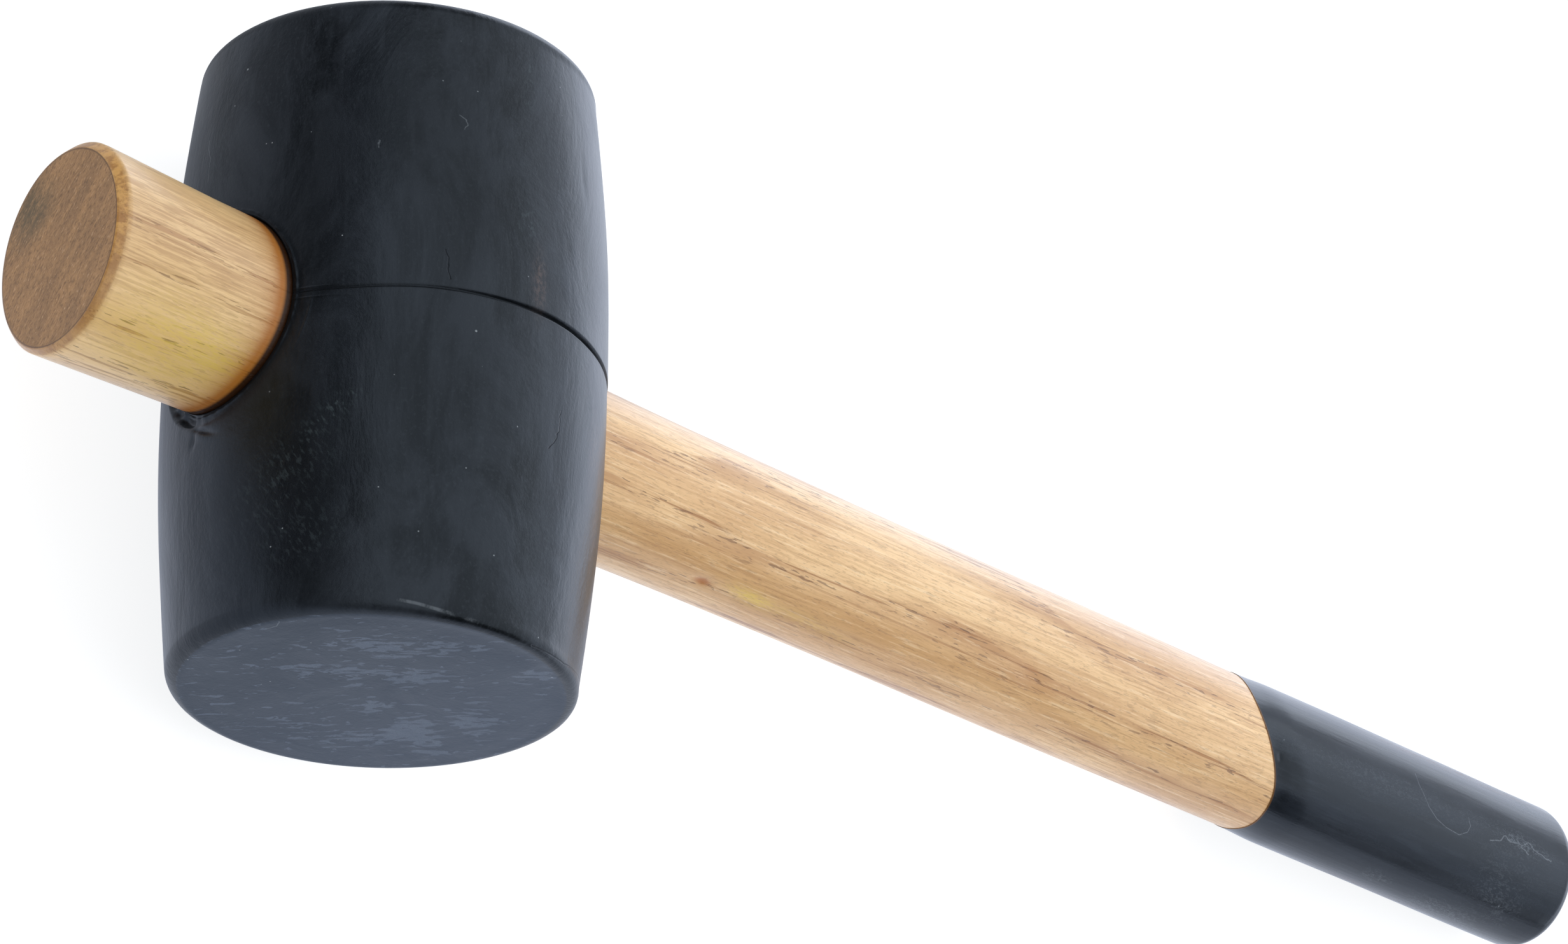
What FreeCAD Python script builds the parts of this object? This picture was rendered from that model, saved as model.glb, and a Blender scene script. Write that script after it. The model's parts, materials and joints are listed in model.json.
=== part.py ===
"""Rubber mallet: a crowned black rubber head held by taper on an oval wooden handle with a dipped grip.

Every sub-part is drawn in the mallet's own frame: X along the handle from the head to the grip, Y along the
head from face to face, Z across both, and the centre of the head at zero. Their Placements then lay the
mallet down as it rests on a table: the belly of the head and the end of the grip both touch Z = 0.
Lengths are in millimetres.
"""

import FreeCAD, Part
import os
import Sketcher

from FreeCAD import Placement, Rotation, Vector

DIMENSIONS = {
    # head
    "head_length": 98.0,  # face to face
    "belly_diameter": 65.0,  # at the parting line, the widest place
    "crown": 3.2,  # how much smaller the radius is at the faces than at the belly
    "rim_radius": 2.8,  # rounded edge of each face
    "mouth_bevel": 1.1,  # bevel of the eye where it breaks the surface
    "parting_width": 0.9,  # groove left where the two halves of the mould met
    "parting_depth": 0.4,
    # handle
    "handle_length": 329.0,
    "stub_reach": 61.0,  # from the head's centre to the end that stands out of the eye
    "taper_reach": 52.0,  # from the head's centre to where the taper becomes the grip
    "stub_long": 32.3,  # oval of the stub's end, measured along the head
    "stub_short": 27.7,  # the same oval, measured across the head
    "grip_long": 25.1,
    "grip_short": 22.4,
    "stub_chamfer": 1.2,
    "grip_end_radius": 3.0,
    # dipped coat on the grip
    "dip_length": 81.0,  # from the grip's end to the middle of the slanted upper edge
    "dip_slant": 21.0,  # degrees between that edge and a square cut
    "dip_thickness": 0.35,
    # fits
    "eye_clearance": 0.02,  # all round, between the eye and the taper that fills it
    "dip_clearance": 0.02,  # all round, between the coat and the wood it clings to
}
DEGREES = ("dip_slant",)

# Sizes worked out from the driving dimensions, each written once and shared by the pieces that meet there
BELLY_RADIUS = "([belly_diameter] / 2)"
FACE_RADIUS = "([belly_diameter] / 2 - [crown])"
GRIP_END = "([handle_length] - [stub_reach])"
COAT_OUTSIDE = "([dip_clearance] + [dip_thickness])"
COAT_START = "([handle_length] - [stub_reach] - 2 * [dip_length])"


class Design:
    """The document, with a spreadsheet of the driving dimensions that every feature is bound to."""

    def __init__(self, name):
        self.doc = FreeCAD.newDocument(name)
        self.sheet = self.doc.addObject("Spreadsheet::Sheet", "Dimensions")
        for row, (alias, value) in enumerate(DIMENSIONS.items(), start=1):
            self.sheet.set(f"A{row}", alias)
            self.sheet.set(f"B{row}", str(value))
            self.sheet.setAlias(f"B{row}", alias)
        self.doc.recompute()

    def expression(self, formula):
        """A formula of [aliases] as an expression that reads the sheet, with the unit of each value."""
        for alias in DIMENSIONS:
            unit = "deg" if alias in DEGREES else "mm"
            formula = formula.replace(f"[{alias}]", f"(<<Dimensions>>.{alias} * 1 {unit})")
        return formula

    def number(self, formula):
        """What a formula gives now, to draw a sketch at its real size."""
        result = self.sheet.evalExpression(self.expression(formula))
        return float(result.Value)

    def bind(self, target, prop, formula):
        """Ties a property of a feature to a formula."""
        target.setExpression(prop, self.expression(formula))

    def body(self, label):
        """A body for one sub-part, under its own label."""
        body = self.doc.addObject("PartDesign::Body", label)
        body.Label = label
        return body

    def bodies(self):
        return [item for item in self.doc.Objects if item.TypeId == "PartDesign::Body"]

    # sketches

    def sketch(self, body, name, role, offset=None):
        """A sketch on one of the body's own origin planes, moved along its normal by an optional formula."""
        sketch = body.newObject("Sketcher::SketchObject", name)
        plane = next(item for item in body.Origin.OriginFeatures if item.Role == role)
        sketch.AttachmentSupport = (plane, [""])
        sketch.MapMode = "FlatFace"
        if offset:
            self.bind(sketch, "AttachmentOffset.Base.z", offset)
        return sketch

    def dimension(self, sketch, kind, *places, formula):
        """A driving dimension tied to a formula; places are the geometry and points that it measures."""
        index = sketch.addConstraint(Sketcher.Constraint(kind, *places, self.number(formula)))
        self.bind(sketch, f"Constraints[{index}]", formula)

    def oval(self, body, name, offset, long_size, short_size):
        """An ellipse square to the handle, its long axis along the head."""
        sketch = self.sketch(body, name, "YZ_Plane", offset)
        long_end = Vector(self.number(long_size) / 2, 0, 0)
        short_end = Vector(0, self.number(short_size) / 2, 0)
        oval = sketch.addGeometry(Part.Ellipse(long_end, short_end, Vector(0, 0, 0)), False)
        sketch.exposeInternalGeometry(oval)
        long_axis = oval + 1
        short_axis = oval + 2
        sketch.addConstraint(Sketcher.Constraint("Coincident", oval, CENTRE, *ORIGIN))
        sketch.addConstraint(Sketcher.Constraint("Horizontal", long_axis))
        self.dimension(sketch, "Distance", long_axis, formula=long_size)
        self.dimension(sketch, "Distance", short_axis, formula=short_size)
        return sketch

    # features

    def pad(self, body, name, profile, length):
        pad = body.newObject("PartDesign::Pad", name)
        pad.Profile = profile
        self.bind(pad, "Length", length)
        self.doc.recompute()
        return pad

    def pocket_through(self, body, name, profile):
        """A pocket that goes right through, both ways from the profile."""
        pocket = body.newObject("PartDesign::Pocket", name)
        pocket.Profile = profile
        pocket.Type = "ThroughAll"
        pocket.Midplane = True
        self.doc.recompute()
        return pocket

    def turn(self, body, kind, name, profile):
        """A full turn of the profile about the head's axis."""
        turned = body.newObject(kind, name)
        turned.Profile = profile
        turned.ReferenceAxis = (profile, ["H_Axis"])
        turned.Angle = 360.0
        self.doc.recompute()
        return turned

    def loft(self, body, kind, name, profiles):
        """A straight-sided loft through the profiles."""
        loft = body.newObject(kind, name)
        loft.Profile = profiles[0]
        loft.Sections = profiles[1:]
        loft.Ruled = True
        self.doc.recompute()
        return loft

    def dress(self, body, kind, name, base, wanted, size_property, formula):
        """A fillet or chamfer on those edges of the last feature that pass a test."""
        edges = enumerate(base.Shape.Edges, start=1)
        names = [f"Edge{number}" for number, edge in edges if wanted(edge)]
        if not names:
            raise RuntimeError(f"{body.Label}: no edge found for {name}")
        dressed = body.newObject(kind, name)
        dressed.Base = (base, names)
        self.bind(dressed, size_property, formula)
        self.doc.recompute()
        return dressed

    def skin(self, body, name, base, open_end, thickness):
        """Hollows the last feature to a skin, left open at the face whose edges pass a test."""
        faces = enumerate(base.Shape.Faces, start=1)
        names = [f"Face{number}" for number, face in faces if all(open_end(edge) for edge in face.Edges)]
        skin = body.newObject("PartDesign::Thickness", name)
        skin.Base = (base, names)
        skin.Reversed = True
        self.bind(skin, "Value", thickness)
        self.doc.recompute()
        return skin

    def fillet(self, body, name, base, wanted, radius):
        return self.dress(body, "PartDesign::Fillet", name, base, wanted, "Radius", radius)

    def chamfer(self, body, name, base, wanted, size):
        return self.dress(body, "PartDesign::Chamfer", name, base, wanted, "Size", size)


# How a sketch names the points of its geometry
START, END, CENTRE = 1, 2, 3
ORIGIN = (-1, START)
H_AXIS = -1
V_AXIS = -2


def closed_outline(sketch, corners):
    """Straight sides through the corners, joined end to end."""
    count = len(corners)
    sides = []
    for i in range(count):
        line = Part.LineSegment(corners[i], corners[(i + 1) % count])
        sides.append(sketch.addGeometry(line, False))
    for i in range(count):
        sketch.addConstraint(Sketcher.Constraint("Coincident", sides[i], END, sides[(i + 1) % count], START))
    return sides


def flat_at(offset):
    """A test for the edges that lie in the plane X = offset of the mallet's own frame."""
    return lambda edge: max(abs(vertex.Point.x - offset) for vertex in edge.Vertexes) < 1e-4


def barrel_profile(design, body):
    """Half of the barrel's section: the axis, the two faces and a crowned flank that is one arc."""
    half = design.number("[head_length] / 2")
    belly = design.number(BELLY_RADIUS)
    face = design.number(FACE_RADIUS)
    sketch = design.sketch(body, "barrel_profile", "YZ_Plane")
    back_foot = Vector(-half, 0, 0)
    front_foot = Vector(half, 0, 0)
    front_rim = Vector(half, face, 0)
    back_rim = Vector(-half, face, 0)
    crest_point = Vector(0, belly, 0)
    axis = sketch.addGeometry(Part.LineSegment(back_foot, front_foot), False)
    front = sketch.addGeometry(Part.LineSegment(front_foot, front_rim), False)
    flank = sketch.addGeometry(Part.Arc(front_rim, crest_point, back_rim), False)
    back = sketch.addGeometry(Part.LineSegment(back_rim, back_foot), False)
    crest = sketch.addGeometry(Part.Point(crest_point), True)
    constraints = [
        ("Coincident", axis, END, front, START),
        ("Coincident", front, END, flank, START),
        ("Coincident", flank, END, back, START),
        ("Coincident", back, END, axis, START),
        ("Vertical", front),
        ("Vertical", back),
        ("Equal", front, back),
        ("Symmetric", axis, START, axis, END, *ORIGIN),
        ("PointOnObject", crest, START, V_AXIS),
        ("PointOnObject", crest, START, flank),
    ]
    for constraint in constraints:
        sketch.addConstraint(Sketcher.Constraint(*constraint))
    design.dimension(sketch, "DistanceX", axis, START, axis, END, formula="[head_length]")
    design.dimension(sketch, "DistanceY", front, START, front, END, formula=FACE_RADIUS)
    design.dimension(sketch, "DistanceY", *ORIGIN, crest, START, formula=BELLY_RADIUS)
    return sketch


def parting_profile(design, body):
    """Section of the parting line: a shallow V pointing at the head's axis."""
    belly = design.number(BELLY_RADIUS)
    half_width = design.number("[parting_width] / 2")
    root_radius = f"({BELLY_RADIUS} - [parting_depth])"
    sketch = design.sketch(body, "parting_profile", "YZ_Plane")
    corners = [
        Vector(-half_width, belly, 0),
        Vector(0, design.number(root_radius), 0),
        Vector(half_width, belly, 0),
    ]
    down, up, top = closed_outline(sketch, corners)
    sketch.addConstraint(Sketcher.Constraint("Horizontal", top))
    sketch.addConstraint(Sketcher.Constraint("PointOnObject", down, END, V_AXIS))
    sketch.addConstraint(Sketcher.Constraint("Equal", down, up))
    design.dimension(sketch, "DistanceX", down, START, up, END, formula="[parting_width]")
    design.dimension(sketch, "DistanceY", *ORIGIN, down, END, formula=root_radius)
    design.dimension(sketch, "DistanceY", *ORIGIN, down, START, formula=BELLY_RADIUS)
    return sketch


def taper_ovals(design, body, clearance=""):
    """The ovals at both ends of the taper that the eye and the handle share; the eye adds its clearance."""
    grown = f" + 2 * {clearance}" if clearance else ""
    stub = ("-[stub_reach]", f"[stub_long]{grown}", f"[stub_short]{grown}")
    throat = ("[taper_reach]", f"[grip_long]{grown}", f"[grip_short]{grown}")
    return [design.oval(body, "stub_oval", *stub), design.oval(body, "throat_oval", *throat)]


def make_head(design):
    """Solid moulded rubber with an oval eye that tapers like the handle that fills it."""
    body = design.body("rubber_head")
    half = design.number("[head_length] / 2")
    barrel = design.turn(body, "PartDesign::Revolution", "barrel", barrel_profile(design, body))

    def on_a_rim(edge):
        return edge.Closed and abs(abs(edge.Vertexes[0].Point.y) - half) < 1e-4

    design.fillet(body, "rims", barrel, on_a_rim, "[rim_radius]")
    ovals = taper_ovals(design, body, "[eye_clearance]")
    eye = design.loft(body, "PartDesign::SubtractiveLoft", "eye", ovals)
    throat = design.number("[grip_short]") / 2

    def on_a_mouth(edge):
        middle = edge.valueAt(edge.getParameterByLength(edge.Length / 2))
        return edge.Curve.TypeId == "Part::GeomBSplineCurve" and abs(middle.x) > throat

    design.chamfer(body, "mouths", eye, on_a_mouth, "[mouth_bevel]")
    design.turn(body, "PartDesign::Groove", "parting_line", parting_profile(design, body))


def make_handle(design):
    """One piece of wood: a tapered stub that wedges in the eye, then an oval grip of one size."""
    body = design.body("wooden_handle")
    design.loft(body, "PartDesign::AdditiveLoft", "taper", taper_ovals(design, body))
    oval = design.oval(body, "grip_oval", "[taper_reach]", "[grip_long]", "[grip_short]")
    grip = design.pad(body, "grip", oval, f"{GRIP_END} - [taper_reach]")
    stub_edge = flat_at(design.number("-[stub_reach]"))
    grip_edge = flat_at(design.number(GRIP_END))
    bevelled = design.chamfer(body, "stub_edge", grip, stub_edge, "[stub_chamfer]")
    design.fillet(body, "grip_edge", bevelled, grip_edge, "[grip_end_radius]")


def make_coat(design):
    """The skin left by dipping the grip: a closed cup with a slanted lip, rounded like the wood inside it."""
    body = design.body("grip_dip_coat")
    long_size = f"[grip_long] + 2 * {COAT_OUTSIDE}"
    short_size = f"[grip_short] + 2 * {COAT_OUTSIDE}"
    oval = design.oval(body, "coat_oval", COAT_START, long_size, short_size)
    dipped = design.pad(body, "dipped", oval, f"2 * [dip_length] + {COAT_OUTSIDE}")
    end = flat_at(design.number(f"{GRIP_END} + {COAT_OUTSIDE}"))
    rounded = design.fillet(body, "end_edge", dipped, end, f"[grip_end_radius] + {COAT_OUTSIDE}")
    design.skin(body, "coat", rounded, flat_at(design.number(COAT_START)), "[dip_thickness]")
    design.pocket_through(body, "slant", slant_profile(design, body))


def slant_profile(design, body):
    """A strip that takes the coat off on the head's side of its slanted lip, seen along Z."""
    far = f"({COAT_START} - [dip_length])"
    lip = f"({GRIP_END} - [dip_length])"
    lean = "[grip_long] * tan([dip_slant])"
    corners = [
        (far, "[grip_long]"),
        (far, "-[grip_long]"),
        (f"{lip} + {lean}", "-[grip_long]"),
        (f"{lip} - {lean}", "[grip_long]"),
    ]
    sketch = design.sketch(body, "slant_profile", "XY_Plane")
    sides = closed_outline(sketch, [Vector(design.number(x), design.number(y), 0) for x, y in corners])
    for side, (x, y) in zip(sides, corners):
        design.dimension(sketch, "DistanceX", *ORIGIN, side, START, formula=x)
        design.dimension(sketch, "DistanceY", *ORIGIN, side, START, formula=y)
    return sketch


def lay_on_table(design, body):
    """Turns a body about the head's axis until the belly and the end of the grip touch one plane, Z = 0."""
    corner_x = f"({GRIP_END} - [grip_end_radius])"
    corner_z = "([grip_short] / 2 - [grip_end_radius])"
    corner_drop = f"({BELLY_RADIUS} - [grip_end_radius] - {COAT_OUTSIDE})"
    reach = f"sqrt({corner_x} * {corner_x} + {corner_z} * {corner_z})"
    lean = f"asin({corner_drop} / {reach}) - atan({corner_z} / {corner_x})"
    body.Placement = Placement(Vector(0, 0, 0), Rotation(Vector(0, 1, 0), 1))
    design.bind(body, "Placement.Rotation.Angle", lean)
    design.bind(body, "Placement.Base.z", BELLY_RADIUS)


def check(design):
    """Stops if any object failed or any sub-part isn't one sound solid."""
    for item in design.doc.Objects:
        if "Invalid" in item.State or "Error" in item.State:
            raise RuntimeError(f"{item.Label}: {item.getStatusString()}")
    for body in design.bodies():
        shape = body.Shape
        if shape.isNull() or not shape.isValid() or len(shape.Solids) != 1:
            raise RuntimeError(f"{body.Label}: not one sound solid")


def main():
    design = Design("rubber_mallet")
    make_head(design)
    make_handle(design)
    make_coat(design)
    for body in design.bodies():
        lay_on_table(design, body)
    design.doc.recompute()
    check(design)
    os.makedirs("parts", exist_ok=True)
    for body in design.bodies():
        body.Shape.exportStep(os.path.join("parts", f"{body.Label}.step"))
        print(body.Label, round(body.Shape.Volume, 1))


main()
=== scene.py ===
"""Rubber mallet lying on a pale table: a crowned rubber head, an oval wooden handle and its dipped grip.

Shapes are worked out in the mallet's own frame, in millimetres: X along the handle from the head to the
grip, Y along the head from face to face, Z across both, zero at the centre of the head. lay_down() turns
them into the frame's place, in metres. An angle round the head or the handle is 90 degrees at the top.
"""

import functools
import json
import math

import bpy
import numpy as np
from mathutils import Matrix, Vector


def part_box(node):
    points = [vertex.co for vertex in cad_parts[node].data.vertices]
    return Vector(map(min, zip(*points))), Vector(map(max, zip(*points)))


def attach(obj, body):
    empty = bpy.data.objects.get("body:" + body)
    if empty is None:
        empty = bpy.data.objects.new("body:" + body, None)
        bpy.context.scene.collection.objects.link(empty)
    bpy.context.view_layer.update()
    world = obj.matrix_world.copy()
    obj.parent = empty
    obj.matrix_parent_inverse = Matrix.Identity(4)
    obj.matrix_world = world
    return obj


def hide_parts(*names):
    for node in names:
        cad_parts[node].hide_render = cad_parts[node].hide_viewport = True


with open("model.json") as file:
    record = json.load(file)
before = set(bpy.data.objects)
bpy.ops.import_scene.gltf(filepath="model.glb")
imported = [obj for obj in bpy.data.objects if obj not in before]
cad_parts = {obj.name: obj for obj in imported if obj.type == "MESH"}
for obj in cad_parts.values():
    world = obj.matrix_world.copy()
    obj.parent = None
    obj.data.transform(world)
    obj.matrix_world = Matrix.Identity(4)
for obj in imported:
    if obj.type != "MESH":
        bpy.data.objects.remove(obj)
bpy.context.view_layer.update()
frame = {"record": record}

MM = 1000.0  # millimetres in a metre
TAU = 2 * np.pi
WELD = 1e-4  # points nearer than this, in millimetres, are one
MARKS = 4  # numbers painted on each point of a mesh, which its finish reads

# Read from the frame
head_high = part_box("rubber_head")[1]
mounts = {mount["name"]: mount for mount in frame["record"]["mounts"]}
stub_axis = mounts["handle_stub_end"]["axis"]
BELLY = head_high[2] / 2 * MM  # radius of the head at its parting line
HALF_HEAD = head_high[1] * MM  # from the parting line to a face
LEAN = math.atan2(stub_axis[2], -stub_axis[0])  # how far the handle dips from level
head_centre = Vector((0.0, 0.0, head_high[2] / 2))
STUB = (Vector(mounts["handle_stub_end"]["pos_m"]) - head_centre).length * MM  # head centre to stub end

# Head
CROWN = 3.2  # how much the radius falls from the belly to a face
CROWN_ARC = (HALF_HEAD**2 + CROWN**2) / (2 * CROWN)  # radius of the arc that gives that fall
RIM = 2.8  # rounding of the edge of each face
RIM_START = (HALF_HEAD - RIM) / (1 - RIM / CROWN_ARC)  # where the rounding leaves the barrel
LIP = 0.5  # rounding of the rubber where the eye breaks the surface
EYE_GAP = 0.06  # between the rubber and the wood inside the eye
BAND_LOW, BAND_HIGH = -4.2, 2.0  # the finely divided band that holds the parting line
# on these rows the rim carries painted shade on the stub's side
SHADED_RIM_ROWS = 8  # rows of the rounded rim that look like the barrel; the rest look like the face

# Handle: half sizes of its oval along the head (long) and across it (short)
LENGTH = 329.0
AROUND = 240  # points round the handle and the coat
GRIP_END = LENGTH - STUB
STUB_LONG, STUB_SHORT = 16.15, 13.85
GRIP_LONG, GRIP_SHORT = 12.55, 11.2
TAPER_END = 52.0  # where the taper runs out into the grip
TAPER_EASE = 9.0  # how gently it does so
BEVEL = 1.3  # at the stub's end
END_ROUND = 3.0  # at the grip's end

# Dipped coat
COAT = 0.35  # thickness
COAT_THIN = 0.08  # thickness at the feathered edge
COAT_FEATHER = 9.0  # how far in from the edge it reaches its full thickness
COAT_EDGE = GRIP_END - 79.9  # where its slanted upper edge crosses the middle of the handle
COAT_SLANT = 4.7  # how far the edge leans to either side of that
COAT_GAP = 0.015  # between the coat and the wood


def lay_down(points):
    """The mallet's own frame in millimetres to the table's in metres: a turn by LEAN about Y, then up."""
    x, y, z = np.moveaxis(np.asarray(points, float), -1, 0)
    cos, sin = math.cos(LEAN), math.sin(LEAN)
    return np.stack([x * cos + z * sin, y, BELLY + z * cos - x * sin], axis=-1) / MM


# ---------------------------------------------------------------- grids


def sheet(place, marks, flip=False, loop=False):
    """One grid: rows and columns of points, and their marks. loop closes rows, flip turns the faces over."""
    return place, np.broadcast_to(np.asarray(marks, float), place.shape[:2] + (MARKS,)), flip, loop


def build(name, node, sheets):
    """Joins grids into one mesh that stands for a node of the frame.

    A face joins the points (i, j), (i, j + 1), (i + 1, j + 1) and (i + 1, j). Points in the same place
    become one, so seams and poles close; a face that has lost a corner is a triangle, and one with two
    left goes.
    """
    points, marks, quads, start = [], [], [], 0
    for place, mark, flip, loop in sheets:
        rows, columns = place.shape[:2]
        index = start + np.arange(rows * columns).reshape(rows, columns)
        index = np.concatenate([index, index[:, :1]], axis=1) if loop else index
        quad = np.stack([index[:-1, :-1], index[:-1, 1:], index[1:, 1:], index[1:, :-1]], axis=-1)
        quads.append(quad.reshape(-1, 4)[:, ::-1] if flip else quad.reshape(-1, 4))
        points.append(place.reshape(-1, 3))
        marks.append(mark.reshape(-1, MARKS))
        start += rows * columns
    points, marks, quads = (np.concatenate(part) for part in (points, marks, quads))
    key = np.round(points / WELD).astype(np.int64)
    _, first, same = np.unique(key, axis=0, return_index=True, return_inverse=True)
    quads = same.reshape(-1)[quads]
    corner = quads != np.roll(quads, 1, axis=1)
    size = corner.sum(axis=1)
    quads, corner, size = quads[size > 2], corner[size > 2], size[size > 2]
    mesh = bpy.data.meshes.new(name)
    mesh.vertices.add(len(first))
    mesh.vertices.foreach_set("co", lay_down(points[first]).ravel())
    mesh.loops.add(int(size.sum()))
    mesh.loops.foreach_set("vertex_index", quads[corner])
    mesh.polygons.add(len(size))
    mesh.polygons.foreach_set("loop_start", np.concatenate([[0], np.cumsum(size)[:-1]]))
    mesh.polygons.foreach_set("use_smooth", np.ones(len(size), bool))
    mesh.update(calc_edges=True)
    mesh.attributes.new("marks", "FLOAT_COLOR", "POINT").data.foreach_set("color", marks[first].ravel())
    piece = bpy.data.objects.new(name, mesh)
    bpy.context.collection.objects.link(piece)
    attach(piece, "root")
    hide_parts(node)
    return piece


def waves(seed, around, along=0.0, count=6, turns=3, reach=50.0):
    """Unevenness about 1 high: a sum of cosines of whole turns of an angle plus a pace along a length."""
    draw = np.random.default_rng(seed)
    total = np.zeros(np.broadcast(around, along).shape)
    for _ in range(count):
        turn = draw.integers(0, turns + 1)
        pace = draw.uniform(-1, 1) * TAU / reach
        total = total + np.cos(turn * around + pace * along + draw.uniform(0, TAU))
    return total / math.sqrt(count)


def bell(distance, width):
    """1 at no distance, falling smoothly over width."""
    return np.exp(-((distance / width) ** 2))


def ramp(value, low, high):
    """Smooth rise from 0 at low to 1 at high."""
    t = np.clip((value - low) / (high - low), 0, 1)
    return t * t * (3 - 2 * t)


def turn_from(angle, degrees):
    """Signed turn from a direction given in degrees, in radians, at most half a turn either way."""
    return (angle - math.radians(degrees) + np.pi) % TAU - np.pi


def graded(count, ease):
    """0 to 1 in count steps that start fine and widen: (exp(ease t) - 1) / (exp(ease) - 1)."""
    return np.expm1(ease * np.linspace(0, 1, count)) / math.expm1(ease)


def oval_patch(u, v, at_u, at_v, long, wide, lean=0.0):
    """A bell-shaped patch round a point, long by wide, its length turned by lean degrees from u."""
    cos, sin = math.cos(math.radians(lean)), math.sin(math.radians(lean))
    u, v = u - at_u, v - at_v
    return bell(u * cos + v * sin, long) * bell(v * cos - u * sin, wide)


def patches(patch, u, v, *rows):
    """A sum of patches of one kind: each row has that kind's numbers and, last, how strong the patch is."""
    return sum(row[-1] * patch(u, v, *row[:-1]) for row in rows)


# ---------------------------------------------------------------- handle


def handle_half_sizes(x):
    """Half sizes of the handle's oval at x: a straight taper that eases into the grip.

    The share of the taper left at x is TAPER_EASE log(1 + exp((TAPER_END - x) / TAPER_EASE)), over the
    taper's whole length.
    """
    share = TAPER_EASE * np.logaddexp(0, (TAPER_END - x) / TAPER_EASE) / (TAPER_END + STUB)
    return GRIP_LONG + (STUB_LONG - GRIP_LONG) * share, GRIP_SHORT + (STUB_SHORT - GRIP_SHORT) * share


def handle_points(x, angle, grow=0.0):
    """Oval section at x: Y = (long + grow) cos(angle), Z = (short + grow) sin(angle)."""
    half_long, half_short = handle_half_sizes(x)
    return np.stack(
        [x + 0 * angle, (half_long + grow) * np.cos(angle), (half_short + grow) * np.sin(angle)], axis=-1
    )


def drawn_in(ring, shares, bulge=0.0):
    """Copies of a ring drawn in towards the handle's axis to each share of its size, to a pole at 0."""
    shares = shares[:, None, None]
    disc = ring[None] * np.array([1, 0, 0]) + ring[None] * np.array([0, 1, 1]) * shares
    disc[..., 0] += bulge * (1 - shares[..., 0] ** 2)
    return disc


def grip_patch(x, angle, at, degrees, long, wide, lean=0.0):
    """A soft patch on the handle, at a length and an angle, long along the handle and wide round it."""
    around = turn_from(angle, degrees) * (GRIP_LONG + GRIP_SHORT) / 2
    return oval_patch(x, around, at, 0, long, wide, lean)


def beyond_rubber(place):
    """How far a point of the handle is past the head's surface, along the handle; negative in the eye."""
    return np.abs(place[..., 0]) - np.sqrt(barrel_radius(place[..., 1]) ** 2 - place[..., 2] ** 2)


def wooden_handle():
    """The handle in one piece: sawn end, bevel, tapered stub, grip and rounded end.

    Rows run along the handle: the end disc from its pole, the bevel as X rises by BEVEL and the oval grows
    by as much, or by less near 185 degrees, the sides with a few hundredths of unevenness where the wood is
    bare, the end's rounding as X = far + r sin(t), inset r (1 - cos(t)), and the far disc to its pole.
    """
    angle = np.linspace(0, TAU, AROUND, endpoint=False)[None, :]
    in_head = BELLY + 1.0
    stations = (-STUB + BEVEL, -in_head - 2, -27, 27, in_head + 2, COAT_EDGE, GRIP_END - END_ROUND)
    steps = (34, 36, 7, 30, 104, 24)  # few where the eye or the coat hides the wood
    spans = zip(stations, stations[1:], steps)
    sides = np.concatenate([np.linspace(near, far, count)[1:] for near, far, count in spans])[:, None]
    bare = ramp(np.abs(sides), in_head, in_head + 6) * (1 - ramp(sides, COAT_EDGE - 16, COAT_EDGE - 6))
    swell = 0.07 * waves(5, angle, sides, count=7, turns=3, reach=70.0)
    swell -= patches(grip_patch, sides, angle, (62, 162, 1.5, 0.9, 0, 0.40), (130, 128, 3, 2, 20, 0.15))
    side = handle_points(sides, angle, swell * bare)
    t = np.linspace(0, 1, 7)[:, None]
    narrow = 1 - 0.55 * bell(turn_from(angle, 185), math.radians(60))
    uneven = 1 + 0.2 * waves(3, angle, turns=5) * (1 - t)
    bevel = handle_points(-STUB + BEVEL * t * uneven, angle, BEVEL * narrow * (t**0.9 - 1))
    bevel[0, :, 0] = -STUB
    t = np.linspace(0, np.pi / 2, 9)[1:, None]
    end = handle_points(GRIP_END - END_ROUND * (1 - np.sin(t)), angle, -END_ROUND * (1 - np.cos(t)))
    sawn = drawn_in(bevel[0], np.append(np.linspace(0, 0.95, 22), 0.976), -0.12)
    place = np.concatenate([sawn, bevel, side, end, drawn_in(end[-1], np.linspace(1, 0, 8)[1:])])
    x = place[..., 0]
    turned = np.broadcast_to(angle, x.shape)
    row = np.arange(len(place))[:, None] + 0 * x
    on_end = (row < len(sawn)).astype(float)
    bevelled = ramp(len(sawn) + len(bevel) - row, 0, 3) * (row >= len(sawn))
    yellow = patches(
        grip_patch, x, turned, (71.5, 158, 4.5, 1.3, 4, 1.0), (84, 159, 9, 1.3, 2, 0.4),
        (-42, 152, 12, 6, 0, 0.55), (-38, 139, 7, 2.5, 6, 0.6), (-50, 140, 9, 6, 0, 0.35),
    )
    # painted shade, partly a real stain from the rubber: the wood darkened where it leaves the head, sharply
    # over a millimetre and faintly over five; also the real stain of a knot and a dent on the grip
    past = np.clip(beyond_rubber(place), 0, 60)
    on_grip = x > 0
    shade_and_stain = np.where(on_grip, 0.6, 1.0) * np.exp(-past / 0.95)
    shade_and_stain += np.where(on_grip, 0.13, 0.52) * np.exp(-past / 4.8)
    shade_and_stain += patches(grip_patch, x, turned, (62, 162, 1.6, 0.8, 0, 0.7), (131, 128, 9, 3.0, 20, 0.16))
    return build("handle_wood", "wooden_handle", [
        sheet(place, np.stack([on_end, bevelled, yellow, shade_and_stain], axis=-1), loop=True)
    ])


# ---------------------------------------------------------------- dipped coat


def coat_edge(angle):
    """The slanted, slightly wavy line where the dip stopped."""
    slant = -COAT_SLANT * np.cos(turn_from(angle, 34)) + 0.8 * np.cos(2 * turn_from(angle, 151))
    wave = 0.5 * np.cos(3 * turn_from(angle, 14)) + 0.07 * waves(21, angle, count=5, turns=9)
    return COAT_EDGE + slant + wave


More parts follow.
